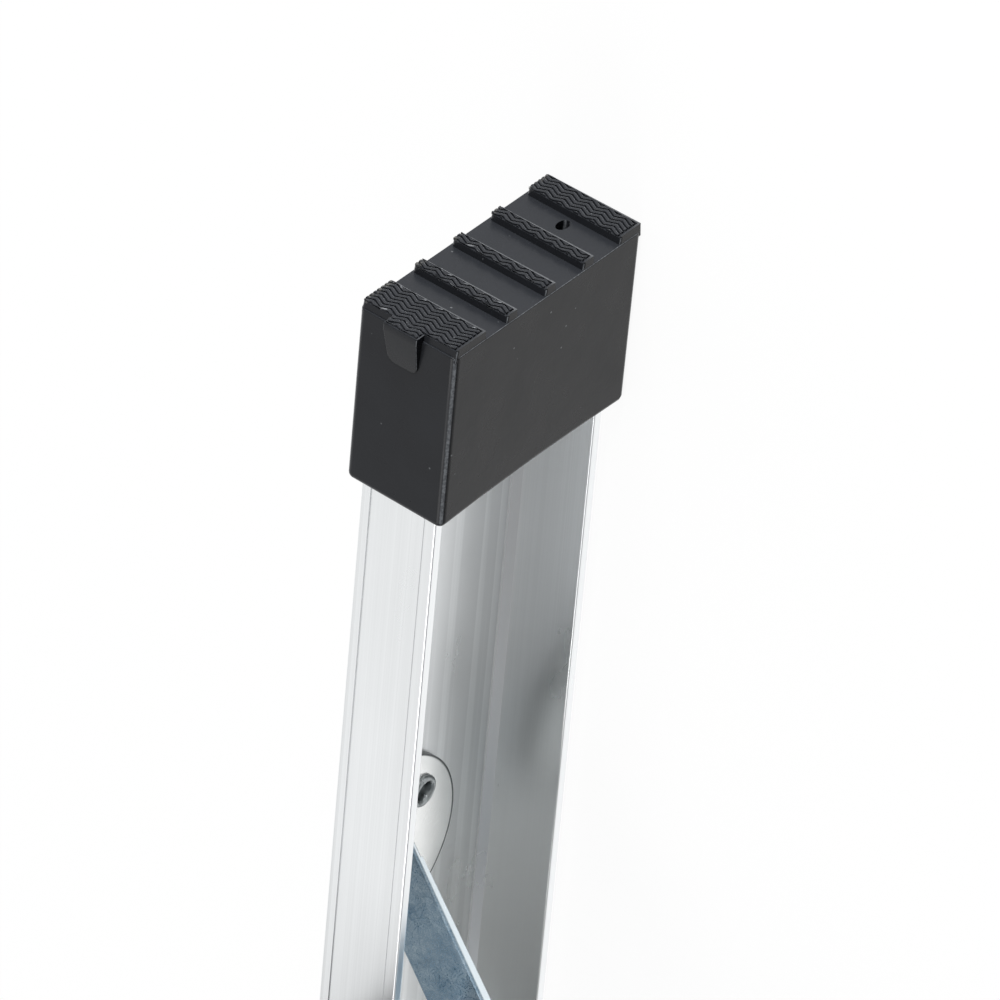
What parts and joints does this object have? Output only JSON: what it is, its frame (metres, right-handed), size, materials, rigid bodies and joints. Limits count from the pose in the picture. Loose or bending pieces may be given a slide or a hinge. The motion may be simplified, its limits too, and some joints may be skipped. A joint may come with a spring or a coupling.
{
  "type": "extension ladder",
  "caption": "Two-section aluminium extension ladder with C-channel rails, round rungs, treaded rubber boots, steel foot braces and hinged rung-lock hooks.",
  "frame": {"origin": "on the floor under the middle of the ladder, which lies on its back with the fly section run in", "axes": "+X from the feet to the top, +Y to the climber's left, +Z from the ladder's back to the climber's side"},
  "size_m": [2.5004, 0.406, 0.1391],
  "materials": {
    "rail_aluminium": "extruded, satin mill finish with fine die lines",
    "rung_aluminium": "extruded, satin mill finish, ribbed tread",
    "boot_rubber": "moulded, semi-gloss",
    "bumper_rubber": "moulded, semi-matt",
    "cap_plastic": "injection moulded, fine grain",
    "rivet_steel": "zinc-plated tubular rivets",
    "brace_zinc_steel": "zinc-plated, blue-passivated strip with fine spangle",
    "rivet_aluminium": "blind rivets, satin",
    "guide_aluminium": "extruded, satin",
    "bracket_zinc_steel": "stamped, zinc plated",
    "pin_steel": "turned, zinc plated",
    "bushing_nylon": "natural nylon",
    "spring_steel": "oiled spring wire",
    "hook_aluminium": "die cast, shot blasted"
  },
  "bodies": {
    "base": {"base_rail_left": "rail_aluminium", "base_rail_right": "rail_aluminium", "base_rung_1": "rung_aluminium", "base_rung_2": "rung_aluminium", "base_rung_3": "rung_aluminium", "base_rung_4": "rung_aluminium", "base_rung_5": "rung_aluminium", "base_rung_6": "rung_aluminium", "base_rung_7": "rung_aluminium", "boot_left": "boot_rubber", "boot_right": "boot_rubber", "brace_left": "brace_zinc_steel", "brace_right": "brace_zinc_steel", "brace_rivets_left": "rivet_steel", "brace_rivets_right": "rivet_steel", "base_top_cap_left": "cap_plastic", "base_top_cap_right": "cap_plastic", "base_guide_left": "guide_aluminium", "base_guide_right": "guide_aluminium", "base_guide_rivets": "rivet_aluminium"},
    "fly": {"fly_rail_left": "rail_aluminium", "fly_rail_right": "rail_aluminium", "fly_rung_1": "rung_aluminium", "fly_rung_2": "rung_aluminium", "fly_rung_3": "rung_aluminium", "fly_rung_4": "rung_aluminium", "fly_rung_5": "rung_aluminium", "fly_rung_6": "rung_aluminium", "fly_rung_7": "rung_aluminium", "fly_rung_8": "rung_aluminium", "fly_bottom_cap_left": "cap_plastic", "fly_bottom_cap_right": "cap_plastic", "fly_top_cap_left": "bumper_rubber", "fly_top_cap_right": "bumper_rubber", "fly_guide_left": "guide_aluminium", "fly_guide_right": "guide_aluminium", "lock_bracket_left": "bracket_zinc_steel", "lock_bracket_right": "bracket_zinc_steel", "lock_pin_left": "pin_steel", "lock_pin_right": "pin_steel", "lock_bushing_left": "bushing_nylon", "lock_bushing_right": "bushing_nylon", "lock_spring_left": "spring_steel", "lock_spring_right": "spring_steel", "fly_guide_rivets": "rivet_aluminium", "lock_rivets": "rivet_aluminium"},
    "hook_left": {"lock_hook_left": "hook_aluminium"},
    "hook_right": {"lock_hook_right": "hook_aluminium"}
  },
  "joints": [
    {"name": "fly_slide", "type": "slide", "parent": "base", "child": "fly", "axis": [1, 0, 0], "range_m": [0, 1.2]},
    {"name": "lock_left", "type": "hinge", "parent": "fly", "child": "hook_left", "pos_m": [-0.9132, 0.1655, 0.0986], "axis": [0, 1, 0], "range_deg": [0, 95]},
    {"name": "lock_right", "type": "hinge", "parent": "fly", "child": "hook_right", "pos_m": [-0.9132, -0.1655, 0.0986], "axis": [0, 1, 0], "range_deg": [0, 95]}
  ]
}
